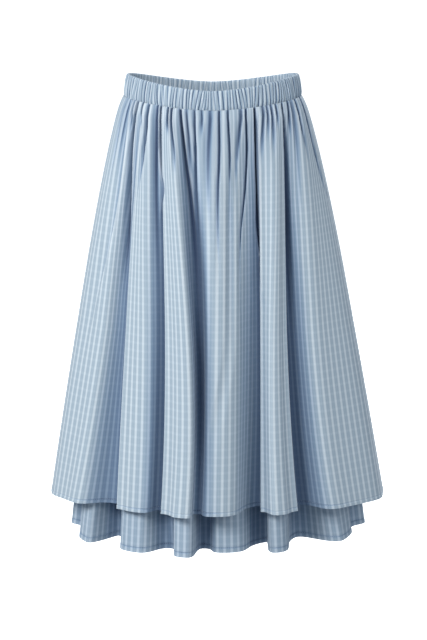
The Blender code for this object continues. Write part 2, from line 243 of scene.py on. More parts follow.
@dataclass(frozen=True)
class SkirtForm:
    """The sizes that all the pieces share: waist, flare and how folds grow."""

    seam_front: float = -15.0
    seam_rise: float = 16.0
    band_top_front: float = 15.0
    band_top_rise: float = 21.0
    rise_power: float = 1.6
    band_top_half: tuple[float, float] = (139.0, 92.0)
    seam_half: tuple[float, float] = (144.0, 96.5)
    flare_power: float = 0.8
    early_growth: float = 0.45
    early_reach: float = 0.09
    even_run: float = 1.0 / 3.0
    side_share: float = 0.25
    sway: float = 3.0
    lean: float = -1.3

    def side_rise(self, angle: np.ndarray) -> np.ndarray:
        """Share of the rise at a place round the waist: none in front, all at the sides."""
        return np.abs(np.sin(angle)) ** self.rise_power

    def fold_growth(self, level: float) -> float:
        """How much of its hem depth a fold has at a level."""
        early = 1.0 - math.exp(-level / self.early_reach)
        return self.early_growth * early + (1.0 - self.early_growth) * level

    def half_sizes(self, level: float, seam: tuple[float, float],
                   hem: tuple[float, float]) -> tuple[float, float]:
        """Half the width and half the depth at a level, without folds.

        Args:
            level: Share of the way from the seam to the hem.
            seam: Half sizes at the seam, in mm.
            hem: Half sizes at the hem, in mm.

        Returns:
            The half width and the half depth, in mm.
        """
        share = level ** self.flare_power
        return tuple(a + (b - a) * share for a, b in zip(seam, hem))


@dataclass(frozen=True)
class LayerSizes:
    """The sizes of one layer of the skirt, in mm.

    Attributes:
        seam_inset: How far inside the waist seam the layer starts.
        hem_half: Half sizes at the hem.
        hem_z: Height of the hem in front.
        side_rise: How much higher the hem is at the sides.
        columns: Mesh columns across a panel.
        rows: Mesh rows between the top and the hem turning.
        hem_turn: Width of the turned hem.
        flat_length: Length of the cut panel.
        wall: Thickness of the cloth.
        hem_wall: Thickness of the turned hem.
        valley_sag: How much lower the hem hangs for each mm that it lies in a valley.
        rise_power: How near to the sides the hem's rise stays.
    """

    seam_inset: float
    hem_half: tuple[float, float]
    hem_z: float
    side_rise: float
    columns: int
    rows: int
    hem_turn: float
    flat_length: float
    wall: float = 0.8
    hem_wall: float = 1.7
    valley_sag: float = 0.03
    rise_power: float = 2.0


def place_mesh(name: str, points: np.ndarray, faces: np.ndarray, uvs: np.ndarray | None = None,
               shade: np.ndarray | None = None,
               edge: np.ndarray | None = None) -> bpy.types.Object:
    """Makes a mesh object from arrays.

    Args:
        name: The piece's name.
        points: Points in metres, one row each.
        faces: Corner numbers, four to a face.
        uvs: Flat place of each point on the cloth, in metres.
        shade: Painted shade at each point, from the folds and creases it lies in, 0 to 1.
        edge: Painted highlight at each point, from how sharp a fold edge it lies on, 0 to 1.

    Returns:
        The new object, at the origin.
    """
    mesh = bpy.data.meshes.new(name)
    mesh.vertices.add(len(points))
    mesh.vertices.foreach_set("co", np.ascontiguousarray(points, np.float32).ravel())
    mesh.loops.add(faces.size)
    mesh.loops.foreach_set("vertex_index", np.ascontiguousarray(faces, np.int32).ravel())
    mesh.polygons.add(len(faces))
    mesh.polygons.foreach_set("loop_start", np.arange(0, faces.size, 4, dtype=np.int32))
    mesh.update(calc_edges=True)
    mesh.validate()
    if uvs is not None:
        layer = mesh.uv_layers.new(name="cloth")
        layer.data.foreach_set("uv", np.ascontiguousarray(uvs[faces.ravel()], np.float32).ravel())
    if shade is not None:
        depth = mesh.attributes.new("painted_fold_shade", "FLOAT", "POINT")
        depth.data.foreach_set("value", np.ascontiguousarray(shade, np.float32))
    if edge is not None:
        sharp = mesh.attributes.new("painted_edge_highlight", "FLOAT", "POINT")
        sharp.data.foreach_set("value", np.ascontiguousarray(edge, np.float32))
    mesh.shade_smooth()
    piece = bpy.data.objects.new(name, mesh)
    bpy.context.scene.collection.objects.link(piece)
    return piece


def running_length(line: np.ndarray) -> np.ndarray:
    """Length along a line at each of its points."""
    return np.concatenate([[0.0], np.cumsum(np.linalg.norm(np.diff(line, axis=0), axis=1))])


def eased(share: float | np.ndarray) -> float | np.ndarray:
    """Goes from 0 to 1 with a smooth start and end, as the share does."""
    return share * share * (3.0 - 2.0 * share)


def set_inputs(node: bpy.types.Node, values: dict[str, object]) -> None:
    """Sets a node's inputs by their names."""
    for name, value in values.items():
        node.inputs[name].default_value = value


def smooth_path(level: float, levels: tuple[float, ...], values: list[float]) -> float:
    """The value of a smooth curve through values at levels, straight on before and after them."""
    if len(values) < 2 or level <= levels[0]:
        return values[0]
    if level >= levels[-1]:
        last = (values[-1] - values[-2]) / (levels[-1] - levels[-2])
        return values[-1] + last * (level - levels[-1])
    slopes = np.gradient(np.array(values), np.array(levels))
    i = int(np.searchsorted(levels, level, side="right")) - 1
    span = levels[i + 1] - levels[i]
    t = (level - levels[i]) / span
    from_start = (2 * t ** 3 - 3 * t ** 2 + 1) * values[i] + (t ** 3 - 2 * t ** 2 + t) * span * slopes[i]
    to_end = (3 * t ** 2 - 2 * t ** 3) * values[i + 1] + (t ** 3 - t ** 2) * span * slopes[i + 1]
    return float(from_start + to_end)


def directions(line: np.ndarray) -> tuple[np.ndarray, np.ndarray]:
    """Unit directions along a plan line and to its outer side, at each of its points."""
    step = np.diff(line, axis=0)
    step /= np.maximum(np.linalg.norm(step, axis=1), 1e-6)[:, None]
    along = np.vstack([step[:1], step[1:] + step[:-1], step[-1:]])
    along /= np.maximum(np.linalg.norm(along, axis=1), 1e-6)[:, None]
    return along, np.stack([along[:, 1], -along[:, 0]], 1)


def grid_faces(rows: int, columns: int) -> np.ndarray:
    """Faces of a grid of points whose rows run down and whose columns run to the right."""
    number = np.arange(rows * columns).reshape(rows, columns)
    return np.stack([number[1:, :-1], number[1:, 1:], number[:-1, 1:], number[:-1, :-1]],
                    axis=-1).reshape(-1, 4)


def apply_modifiers(piece: bpy.types.Object) -> None:
    """Applies a piece's modifiers, so that its mesh is final."""
    bpy.ops.object.select_all(action="DESELECT")
    bpy.context.view_layer.objects.active = piece
    piece.select_set(True)
    for modifier in list(piece.modifiers):
        bpy.ops.object.modifier_apply(modifier=modifier.name)
    piece.select_set(False)


@dataclass
class ClothPanel:
    """One sewn panel of a layer, shaped by its fold lines and creases."""

    name: str
    node: str
    side: Side
    form: SkirtForm
    sizes: LayerSizes
    folds: tuple[Fold, ...]
    creases: tuple[Crease, ...]
    crest_height: float = 7.0
    crest_reach: float = 0.55
    outward: float = 1.0
    closeness: float = 1.6
    close_reach: float = 9.0
    sharp_run: float = 0.3
    sharpness: float = 2.2
    sharp_reach: float = 8.0
    # Settings of the painted shade and painted highlight worked into the cloth's colour.
    view_window: float = 26.0
    view_growth: float = 34.0
    edge_weight: float = 0.25
    edge_reach: float = 4.0
    edge_light: float = 0.4
    bottom_shade: float = 0.92
    top_shade: float = 0.3
    top_reach: float = 0.2
    low_light: float = 0.42
    sewn_shade: float = 0.4
    sewn_width: float = 1.1
    lap_shade: float = 0.54
    side_calm: float = 0.6
    dim: float = 0.0
    samples: int = 60
    crest_keep: float = 1.7
    lines: list[tuple[tuple[float, float, float], float, Fold]] = field(default_factory=list)

    @property
    def drop(self) -> float:
        """The front's length from the waist seam to the hem, in mm."""
        return self.form.seam_front - self.sizes.hem_z

    def __post_init__(self) -> None:
        """Works out the angle and reach of each fold line."""
        inset = self.sizes.seam_inset
        self.seam_half = tuple(half - inset for half in self.form.seam_half)
        middle = self.form.half_sizes(0.5, self.seam_half, self.sizes.hem_half)
        grown = self.form.fold_growth(0.5)
        before = None
        for fold in self.folds:
            across = fold.hem[0] / self.sizes.hem_half[0]
            ahead = -fold.hem[1] / self.sizes.hem_half[1]
            reach = math.hypot(across, ahead)
            if fold.kind is SEAM:
                mid = top = math.copysign(math.pi / 2.0, fold.hem[0])
            else:
                mid_reach = 1.0 - (1.0 - reach) * grown
                mid = math.asin(max(-1.0, min(1.0, fold.mid_x / (middle[0] * mid_reach))))
                top = math.asin(max(-1.0, min(1.0, fold.top_x / self.seam_half[0])))
                if self.side is Side.BACK:
                    mid = math.copysign(math.pi, mid) - mid
                    top = math.copysign(math.pi, top) - top
            angles = [top, mid, math.atan2(across, ahead)]
            if before is not None:
                for i, old in enumerate(before):
                    while angles[i] < old - 1.0:
                        angles[i] += 2.0 * math.pi
            before = angles
            self.lines.append((tuple(angles), reach, fold))

    def section(self, level: float) -> tuple[np.ndarray, np.ndarray]:
        """The panel's plan line at a level.

        Args:
            level: Share of the way from the seam to the hem.

        Returns:
            The points of the line in mm, and the number of the point at each fold line.
        """
        half_x, half_y = self.form.half_sizes(level, self.seam_half, self.sizes.hem_half)
        growth = self.form.fold_growth(level)
        stations = []
        for (top, mid, hem), reach, fold in self.lines:
            angle = (top * (2.0 * level - 1.0) * (level - 1.0) + mid * 4.0 * level * (1.0 - level)
                     + hem * level * (2.0 * level - 1.0))
            late = min(1.0, max(0.0, (level - 0.6) / 0.4))
            kept = 1.0 - fold.fade * eased(late)
            out = 1.0 - (1.0 - reach) * growth * kept
            place = np.array([half_x * out * math.sin(angle), -half_y * out * math.cos(angle)])
            along = np.array([half_x * math.cos(angle), half_y * math.sin(angle)])
            stations.append((place, along / np.linalg.norm(along), fold))
        q = np.linspace(0.0, 1.0, self.samples, endpoint=False)[:, None]
        even = self.form.even_run
        pieces = []
        for (start, start_way, first), (end, end_way, second) in zip(stations, stations[1:]):
            chord = np.linalg.norm(end - start)
            span = abs(np.dot(end - start, (start_way + end_way) / 2.0))
            span += self.form.side_share * (chord - span) * growth
            leave = start + start_way * (even + (first.run_right - even) * growth) * span
            arrive = end - end_way * (even + (second.run_left - even) * growth) * span
            pieces.append((1 - q) ** 3 * start + 3 * (1 - q) ** 2 * q * leave
                          + 3 * (1 - q) * q ** 2 * arrive + q ** 3 * end)
        pieces.append(stations[-1][0][None, :])
        knots = np.arange(len(stations)) * self.samples
        return np.vstack(pieces), knots

    def spread_columns(self, run: np.ndarray, knots: np.ndarray) -> np.ndarray:
        """Where the mesh columns lie along a plan line.

        Near a crest the cloth keeps the spacing it has at the hem, and what the line is short of
        goes into the valleys, so the stripes stay parallel to the folds.

        Args:
            run: Length along the line at each of its points.
            knots: The number of the point at each fold line.

        Returns:
            The length along the line at each column.
        """
        places = np.zeros(len(self.cloth))
        for i, (first, second) in enumerate(zip(self.folds, self.folds[1:])):
            here, there = run[knots[i]], run[knots[i + 1]]
            low, high = self.hem_knots[i], self.hem_knots[i + 1]
            inside = (self.cloth >= low) & (self.cloth <= high)
            w = (self.cloth[inside] - low) / (high - low)
            keep = min(self.crest_keep, max(1.0, (high - low) / (there - here)))
            if second.kind is VALLEY:
                w = keep * w / (1.0 + (keep - 1.0) * w)
            elif first.kind is VALLEY:
                w = 1.0 - keep * (1.0 - w) / (1.0 + (keep - 1.0) * (1.0 - w))
            places[inside] = here + (there - here) * w
        return places

    def levels(self) -> np.ndarray:
        """The rows' levels: closer below the waist seam and in the hem turning."""
        even = np.linspace(0.0, 1.0, self.sizes.rows)
        close = 0.55 * even + 0.45 * even ** 2
        turn = self.sizes.hem_turn
        last = 1.0 - (turn + 5.0) / self.drop
        beside_stitches = [turn + step for step in (3.0, 1.6, 0.7, 0.0, -0.7, -1.6)]
        hem = beside_stitches + [0.5 * turn, 1.6, 0.8, 0.3, 0.0]
        return np.concatenate([close * last, 1.0 - np.array(hem) / self.drop])

    def crest_at(self, level: float) -> float:
        """How far the gathers' crests stand out at a level, in mm."""
        rise = 0.55 + 0.45 * min(1.0, level / 0.03)
        fade = max(0.0, 1.0 - level / self.crest_reach)
        return self.crest_height * rise * fade

    def creased(self, level: float,
                places: np.ndarray) -> tuple[np.ndarray, np.ndarray, np.ndarray]:
        """How far the creases press the cloth in at a level.

        Args:
            level: Share of the way from the seam to the hem.
            places: Length along the row at each column, in mm.

        Returns:
            At each column the depth in mm, how near it is to a crease's bottom, 0 to 1, which sets its
            painted shade, and how far it leans to the left, in mm.
        """
        depth = np.zeros_like(places)
        bottom = np.zeros_like(places)
        lap = np.zeros_like(places)
        for crease, path in zip(self.creases, self.crease_paths):
            if level >= crease.end:
                continue
            gone = level / crease.end
            if crease.start > 0.0:
                start = min(1.0, max(0.0, (level - crease.start) / 0.15))
            else:
                start = 0.7 + 0.3 * min(1.0, level / 0.02)
            held = LONG_HOLD if crease.beside_fold or crease.start > 0.0 else SHORT_HOLD
            fading = min(1.0, max(0.0, (gone - held) / (1.0 - held)))
            along = start * (1.0 - eased(fading))
            cloth = smooth_path(level, CREASE_LEVELS[:len(path)], path)
            away = places - np.interp(cloth, self.cloth, places)
            wider = 1.0 + (LONG_WIDENING if crease.beside_fold else SHORT_WIDENING) * gone
            on_left = away < 0.0
            width = np.where(on_left, crease.left, crease.right) * wider
            bent = np.cos(0.5 * math.pi * np.clip(np.abs(away) / width, 0.0, 1.0))
            pressed = crease.depth * along * bent ** np.where(on_left, LEFT_BEND, RIGHT_BEND)
            depth = np.maximum(depth, pressed)
            core_width = np.where(on_left, LEFT_CORE, RIGHT_CORE) * width
            core = np.exp(-(away / core_width) ** 2) * along * crease.dark
            core = core * min(1.0, crease.depth / DARK_DEPTH)
            bottom = np.maximum(bottom, core)
            if crease.lap > 0.0:
                edge = crease.right * wider
                rise = np.clip(away / edge, 0.0, 1.0)
                beyond = np.maximum(away - edge, 0.0) / (2.0 * edge + 2.0)
                lean = crease.lap * along * eased(rise) * np.exp(-beyond ** 2)
                lap = np.maximum(lap, lean)
        return depth, bottom, lap

    def openness(self, level: float, plan: np.ndarray, slope: np.ndarray,
                 outwards: np.ndarray) -> np.ndarray:
        """How much of the open side each point of a row sees, from 0 to 1, for the painted shade in
        folds.

        Args:
            level: Share of the way from the seam to the hem.
            plan: The row's points, in mm.
            slope: Directions along the row.
            outwards: Directions away from the skirt.

        Returns:
            The share that is open, 1 on a crest and less in a fold.
        """
        count = len(plan)
        window = self.view_window + self.view_growth * level
        open_sides = []
        for way in (-1, 1):
            highest = np.zeros(count)
            for step in range(1, min(90, count - 1)):
                here = slice(step, None) if way < 0 else slice(None, -step)
                there = slice(None, -step) if way < 0 else slice(step, None)
                to = plan[there] - plan[here]
                rise = np.einsum("ij,ij->i", to, outwards[here])
                along = way * np.einsum("ij,ij->i", to, slope[here])
                angle = np.where(np.hypot(rise, along) < window,
                                 np.arctan2(rise, np.maximum(along, 0.01)), 0.0)
                highest[here] = np.maximum(highest[here], angle)
            open_sides.append(1.0 - highest / (0.5 * math.pi))
        even = 0.5 * (open_sides[0] + open_sides[1])
        hidden = open_sides[0] * open_sides[1]
        lower = self.edge_weight * min(1.0, level / 0.4)
        return even + (hidden - even) * lower

    def in_shadow(self, level: float) -> np.ndarray:
        """How much of its light each column loses to a lap beside it, from 0 to 1."""
        lost = np.zeros_like(self.cloth)
        for place, fold in zip(self.hem_knots, self.folds):
            if fold.shadow > 0.0:
                open_side = -1.0 if fold.run_left > fold.run_right else 1.0
                away = (self.cloth - place) * open_side
                share = 1.0 - away / (fold.shadow * (0.25 + 0.75 * level))
                share = np.where(away < 0.0, 1.0 + away / 10.0, share)
                lost = np.maximum(lost, self.lap_shade * np.clip(share, 0.0, 1.0) ** 0.75)
        return lost * min(1.0, level / 0.3)

    def edges(self, level: float, plan: np.ndarray, slope: np.ndarray) -> np.ndarray:
        """The painted highlight on each point of a row, from how sharp an outward edge it lies on, 0 to
        1.
        """
        run = running_length(plan)
        heading = np.unwrap(np.arctan2(slope[:, 1], slope[:, 0]))
        before = np.interp(run - self.edge_reach, run, heading)
        after = np.interp(run + self.edge_reach, run, heading)
        share = np.clip((after - before - 0.5) / 1.3, 0.0, 1.0)
        return self.edge_light * share * (1.0 - 0.5 * level)

    def hem_profile(self, to_edge: float) -> float:
        """How far the cloth stands out near the hem: a groove at the stitches, then the turning."""
        turn = self.sizes.hem_turn
        groove = -0.7 * math.exp(-((to_edge - turn) / 0.7) ** 2)
        return groove + (0.35 if to_edge < turn - 0.5 else 0.0)

    def row(self, level: float) -> tuple[np.ndarray, np.ndarray, np.ndarray, np.ndarray]:
        """One row of the cloth.

        Args:
            level: Share of the way from the seam to the hem.

        Returns:
            The points in mm, their directions along the row and outwards, and how near each is
            to a crease's bottom.
        """
        line, knots = self.section(level)
        run = running_length(line)
        places = self.spread_columns(run, knots)
        base = np.stack([np.interp(places, run, line[:, i]) for i in (0, 1)], 1)
        half_x, half_y = self.form.half_sizes(level, self.seam_half, self.sizes.hem_half)
        angle = np.arctan2(base[:, 0] / half_x, -base[:, 1] / half_y)
        inset = (1.0 - np.hypot(base[:, 0] / half_x, base[:, 1] / half_y)) * half_y
        seam_z = self.form.seam_front + self.form.seam_rise * self.form.side_rise(angle)
        rise = self.sizes.side_rise * np.abs(np.sin(angle)) ** self.sizes.rise_power
        hem_z = self.sizes.hem_z + rise - self.sizes.valley_sag * inset
        crest = self.crest_at(level) * (1.0 - self.side_calm * np.sin(angle) ** 8)
        pressed, bottom, lap = self.creased(level, places)
        pressed = np.minimum(pressed, crest + 0.8 + 36.0 * level)
        to_edge = (1.0 - level) * self.drop
        out = self.outward * (crest - pressed) + self.hem_profile(to_edge)
        away = base / np.array([half_x, half_y]) ** 2
        away /= np.linalg.norm(away, axis=1)[:, None]
        plan = base + away * out[:, None]
        plan += np.stack([away[:, 1], -away[:, 0]], 1) * lap[:, None]
        plan[:, 0] += self.form.sway * level + self.form.lean * (1.0 - level)
        z = seam_z + 1.0 + (hem_z - seam_z - 1.0) * level
        slope, outwards = directions(plan)
        return np.column_stack([plan, z]), slope, outwards, bottom

    def cloth_at(self, level: float, across: float) -> float:
        """Which place of the flat cloth lies at a distance across, at a level.

        Args:
            level: Share of the way from the seam to the hem.
            across: The distance across in plan, in mm.

        Returns:
            The distance along the cloth's hem, in mm.
        """
        line, knots = self.section(level)
        run = running_length(line)
        places = self.spread_columns(run, knots)
        x = np.interp(places, run, line[:, 0])
        y = np.interp(places, run, line[:, 1])
        half_x, half_y = self.form.half_sizes(level, self.seam_half, self.sizes.hem_half)
        inwards = (1.0 - np.hypot(x / half_x, y / half_y)) * half_y
        return float(self.cloth[np.argmin(np.abs(x - across) + 0.02 * inwards)])

    def lay_out(self) -> None:
        """Places the mesh columns on the flat cloth, and finds each crease's path on it."""
        line, knots = self.section(1.0)
        run = running_length(line)
        self.hem_knots = run[knots]
        self.cloth = np.linspace(0.0, run[-1], 4 * self.sizes.columns)
        self.crease_paths = [
            [self.cloth_at(level, x) for level, x in zip(CREASE_LEVELS, crease.path)]
            for crease in self.creases]
        density = np.ones_like(self.cloth)
        for path in self.crease_paths:
            density += self.closeness * np.exp(-((self.cloth - path[0]) / self.close_reach) ** 2)
        for place, fold in zip(self.hem_knots, self.folds):
            if min(fold.run_left, fold.run_right) < self.sharp_run:
                density += self.sharpness * np.exp(-((self.cloth - place) / self.sharp_reach) ** 2)
        share = np.concatenate([[0.0], np.cumsum((density[1:] + density[:-1]) / 2.0)])
        wanted = np.linspace(0.0, share[-1], self.sizes.columns)
        self.cloth = np.interp(wanted, share, self.cloth)
        log.info("%s: %.0f mm of cloth at the hem", self.name, self.cloth[-1])

    def build(self, finish: "CheckedCotton") -> bpy.types.Object:
        """Makes the panel as a closed shell of cloth.

        Args:
            finish: The cloth's finish.

        Returns:
            The piece, riding on the skirt and standing for its plain solid.
        """
        self.lay_out()
        levels = self.levels()
        rows = [self.row(level) for level in levels]
        points = np.vstack([row[0] for row in rows]) * MM
        # Painted shade: openness in folds, crease bottoms, the stitch groove, lap shadows, the gathers
        # below the waist and an all-over dim are summed into one shade per point; sharp fold edges get a
        # painted highlight.
        seen = np.concatenate([self.openness(level, row[0][:, :2], *row[1:3])
                               for level, row in zip(levels, rows)])
        edge = np.concatenate([self.edges(level, row[0][:, :2], row[1])
                               for level, row in zip(levels, rows)])
        bottom = np.concatenate([row[3] for row in rows])
        count = len(self.cloth)
        to_edge = (1.0 - levels) * self.drop
        sewn_away = (to_edge - self.sizes.hem_turn) / self.sewn_width
        bottom = np.maximum(bottom, np.repeat(self.sewn_shade * np.exp(-sewn_away ** 2), count))
        shadow = np.concatenate([self.in_shadow(level) for level in levels])
        seen = 1.0 - (1.0 - seen) * (1.0 - self.low_light * np.repeat(levels, count))
        gathered = np.repeat(self.top_shade * np.exp(-(levels / self.top_reach) ** 2), count)
        open_share = (1.0 - self.bottom_shade * bottom) * (1.0 - self.dim) * (1.0 - gathered)
        shade = 1.0 - seen * open_share * (1.0 - shadow)
        down = np.repeat(levels * self.sizes.flat_length * MM, count)
        across = np.tile(self.cloth * MM, len(levels))
        piece = place_mesh(self.name, points, grid_faces(len(levels), count),
                           np.column_stack([across, down]), shade, edge)
        thick = piece.vertex_groups.new(name="hem")
        first = int(np.argmax(to_edge < self.sizes.hem_turn - 0.5))
        thick.add(list(range(first * count, len(levels) * count)), 1.0, "REPLACE")
        wall = piece.modifiers.new("Cloth", "SOLIDIFY")
        wall.thickness = self.sizes.hem_wall * MM
        wall.offset = -1.0
        wall.vertex_group = "hem"
        wall.thickness_vertex_group = self.sizes.wall / self.sizes.hem_wall
        wall.use_even_offset = False
        piece.data.materials.append(finish.material())
        apply_modifiers(piece)
        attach(piece, BODY)
        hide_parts(self.node)
        log.info("%s: %d points", self.name, len(piece.data.vertices))
        return piece

    def stitches(self, finish: "Thread") -> bpy.types.Object:
        """Makes the row of stitches above the hem's turning."""
        level = 1.0 - self.sizes.hem_turn / self.drop
        points, slope, outwards, _ = self.row(level)
        run = running_length(points)
        centres = np.arange(2.0, run[-1] - 2.0, finish.pitch)
        middle = np.stack([np.interp(centres, run, points[:, i]) for i in range(3)], 1)
        along = np.stack([np.interp(centres, run, slope[:, i]) for i in (0, 1)], 1)
        out = np.stack([np.interp(centres, run, outwards[:, i]) for i in (0, 1)], 1)
        flat = np.zeros((len(centres), 1))
        return finish.sew(self.name + "_stitches", middle, np.hstack([along, flat]),
                          np.hstack([out, flat]))


@dataclass(frozen=True)
class Thread:
    """Sewing thread, laid as short stitches.

    Attributes:
        pitch: From one stitch to the next, in mm.
        length: A stitch's length, in mm.
        radius: The thread's radius, in mm.
        colour: Its colour.
    """

    pitch: float = 3.2
    length: float = 2.3
    radius: float = 0.32
    colour: tuple[float, float, float, float] = (0.40, 0.50, 0.62, 1.0)

    def material(self) -> bpy.types.Material:
        """The thread's finish, made once."""
        made = bpy.data.materials.get("sewing thread")
        if made is not None:
            return made
        made = bpy.data.materials.new("sewing thread")
        made.use_nodes = True
        nodes, links = made.node_tree.nodes, made.node_tree.links
        shader = nodes["Principled BSDF"]
        shader.inputs["Roughness"].default_value = 0.6
        place = nodes.new("ShaderNodeTexCoord")
        twist = nodes.new("ShaderNodeTexNoise")
        twist.inputs["Scale"].default_value = 1800.0
        links.new(place.outputs["Object"], twist.inputs["Vector"])
        tone = nodes.new("ShaderNodeValToRGB")
        tone.color_ramp.elements[0].color = [c * 0.8 for c in self.colour[:3]] + [1.0]
        tone.color_ramp.elements[1].color = self.colour
        links.new(twist.outputs["Fac"], tone.inputs["Fac"])
        links.new(tone.outputs["Color"], shader.inputs["Base Color"])
        return made

    def sew(self, name: str, middle: np.ndarray, along: np.ndarray,
            out: np.ndarray) -> bpy.types.Object:
        """Lays one stitch at each place.

        Args:
            name: The piece's name.
            middle: Middle of each stitch on the cloth, in mm.
            along: Direction of each stitch.
            out: Outward direction of the cloth at each stitch.

        Returns:
            One piece with all the stitches.
        """
        side = np.cross(along, out)
        ring = ((1.0, 0.0), (0.0, 1.0), (-1.0, 0.0), (0.0, -1.0))
        cuts = ((-0.5, 0.35, -0.3), (-0.25, 1.0, 0.15), (0.25, 1.0, 0.15), (0.5, 0.35, -0.3))
        points = []
        for where, size, lift in cuts:
            for across, up in ring:
                points.append(middle + along * (where * self.length)
                              + side * (across * size * self.radius)
                              + out * (up * size * self.radius + lift))
        count = len(ring)
        total = count * len(cuts)
        local = [[0, 3, 2, 1], [total - 4, total - 3, total - 2, total - 1]]
        for cut in range(len(cuts) - 1):
            for i in range(count):
                j = (i + 1) % count
                base = cut * count
                local.append([base + i, base + j, base + count + j, base + count + i])
        faces = (np.array(local)[None] + (np.arange(len(middle)) * total)[:, None, None])
        coordinates = np.stack(points, 1).reshape(-1, 3) * MM
        piece = place_mesh(name, coordinates, faces.reshape(-1, 4))
        piece.data.materials.append(self.material())
        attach(piece, BODY)
        log.info("%s: %d stitches", name, len(middle))
        return piece


@dataclass(frozen=True)
class CheckedCotton:
    """Light blue cotton with a woven check of paler lines.

    Attributes:
        name: The finish's name.
        cell: Colour of the cells.
        line: Colour of the pale lines where they cross.
        shade_tint: Painted shade: what the colour is multiplied by halfway into a fold.
        deep_shade: Painted shade: the dark colour that the cloth tends to at the bottom of a fold.
        pale: Colour of the painted highlight that it tends to on a sharp edge.
        across: From one upright line to the next, in metres.
        down: From one level line to the next, in metres.
        fold_share: How far the painted shade goes towards its darkest colour.
        upright_share: How strong the upright lines are.
        level_share: How strong the level lines are.
        thin_share: How strong the thin upright lines between them are.
        yarn_share: How uneven the yarn is.
        weave_pitch: From one thread to the next but one, in metres.
    """

    name: str = "checked cotton"
    cell: tuple[float, float, float, float] = (0.318, 0.408, 0.494, 1.0)
    line: tuple[float, float, float, float] = (0.67, 0.745, 0.80, 1.0)
    shade_tint: tuple[float, float, float, float] = (0.55, 0.65, 0.80, 1.0)
    deep_shade: tuple[float, float, float, float] = (0.024, 0.047, 0.110, 1.0)
    pale: tuple[float, float, float, float] = (0.80, 0.86, 0.90, 1.0)
    across: float = 0.0118
    down: float = 0.0126
    fold_share: float = 0.92
    upright_share: float = 0.60
    level_share: float = 0.10
    thin_share: float = 0.07
    yarn_share: float = 0.10
    weave_pitch: float = 0.0009

    def material(self) -> bpy.types.Material:
        """The cloth's finish, made once.

        Returns:
            The material, with the check in the cloth's own flat coordinates.
        """
        made = bpy.data.materials.get(self.name)
        if made is not None:
            return made
        made = bpy.data.materials.new(self.name)
        made.use_nodes = True
        nodes, links = made.node_tree.nodes, made.node_tree.links

        def math_node(operation: str, first: object, second: object) -> bpy.types.NodeSocket:
            """A Math node on sockets or numbers."""
            node = nodes.new("ShaderNodeMath")
            node.operation = operation
            for socket, value in zip(node.inputs, (first, second)):
                if isinstance(value, bpy.types.NodeSocket):
                    links.new(value, socket)
                else:
                    socket.default_value = value
            return node.outputs[0]

        def rise_between(value: bpy.types.NodeSocket, low: float, high: float,
                         first: float = 0.0, last: float = 1.0) -> bpy.types.NodeSocket:
            """Goes smoothly from first to last while a value goes from low to high."""
            node = nodes.new("ShaderNodeMapRange")
            node.interpolation_type = "SMOOTHSTEP"
            links.new(value, node.inputs["Value"])
            set_inputs(node, {"From Min": low, "From Max": high, "To Min": first, "To Max": last})
            return node.outputs["Result"]

        def soft_line(place: bpy.types.NodeSocket, pitch: float, shift: float, low: float,
                      high: float) -> bpy.types.NodeSocket:
            """A soft pale line once every pitch: 1 on the line and 0 in the cell."""
            turns = math_node("ADD", math_node("DIVIDE", place, pitch), shift)
            return rise_between(math_node("PINGPONG", turns, 0.5), low, high, 1.0, 0.0)

        def blend(share: bpy.types.NodeSocket, first: object, second: tuple[float, ...],
                  mode: str = "MIX") -> bpy.types.NodeSocket:
            """Mixes a colour, or a socket's, with a second colour by a share."""
            node = nodes.new("ShaderNodeMix")
            node.data_type = "RGBA"
            node.blend_type = mode
            links.new(share, node.inputs["Factor"])
            colours = [socket for socket in node.inputs if socket.type == "RGBA"]
            if isinstance(first, bpy.types.NodeSocket):
                links.new(first, colours[0])
            else:
                colours[0].default_value = first
            colours[1].default_value = second
            return [socket for socket in node.outputs if socket.type == "RGBA"][0]

        def attribute(name: str) -> bpy.types.NodeSocket:
            """A point attribute of the piece."""
            node = nodes.new("ShaderNodeAttribute")
            node.attribute_name = name
            return node.outputs["Fac"]

        cloth = nodes.new("ShaderNodeUVMap")
        cloth.uv_map = "cloth"
        parts = nodes.new("ShaderNodeSeparateXYZ")
        links.new(cloth.outputs["UV"], parts.inputs["Vector"])
        u, v = parts.outputs["X"], parts.outputs["Y"]
        upright = soft_line(u, self.across, 0.0, 0.07, 0.30)
        thin = soft_line(u, self.across, 0.5, 0.02, 0.10)
        level = soft_line(v, self.down, 0.0, 0.04, 0.26)
        level = math_node("MULTIPLY", level, rise_between(v, 0.04, 0.20))
        both = math_node("ADD", math_node("MULTIPLY", upright, self.upright_share),
                         math_node("MULTIPLY", level, self.level_share))
        both = math_node("ADD", both, math_node("MULTIPLY", thin, self.thin_share))

        yarn_place = nodes.new("ShaderNodeMapping")
        yarn_place.inputs["Scale"].default_value = (1400.0, 60.0, 1.0)
        links.new(cloth.outputs["UV"], yarn_place.inputs["Vector"])
        yarn = nodes.new("ShaderNodeTexNoise")
        set_inputs(yarn, {"Scale": 1.0, "Detail": 2.0})
        links.new(yarn_place.outputs["Vector"], yarn.inputs["Vector"])
        both = math_node("ADD", both, math_node("MULTIPLY", yarn.outputs["Fac"], self.yarn_share))

        # Painted shade: the fold attribute multiplies the check towards a blue shade colour, then
        # darkens it further at the bottom of folds; the edge attribute paints a pale highlight on sharp
        # fold edges.
        depth = attribute("painted_fold_shade")
        check = blend(both, self.cell, self.line)
        shaded = blend(rise_between(depth, 0.15, 0.70), check, self.shade_tint, "MULTIPLY")
        deep_shaded = blend(rise_between(depth, 0.44, 0.92, 0.0, self.fold_share), shaded, self.deep_shade)
        edge_highlighted = blend(attribute("painted_edge_highlight"), deep_shaded, self.pale)

        shader = nodes["Principled BSDF"]
        links.new(edge_highlighted, shader.inputs["Base Color"])
        set_inputs(shader, {"Roughness": 0.82, "Specular IOR Level": 0.25, "Sheen Weight": 0.12,
                            "Sheen Roughness": 0.5})

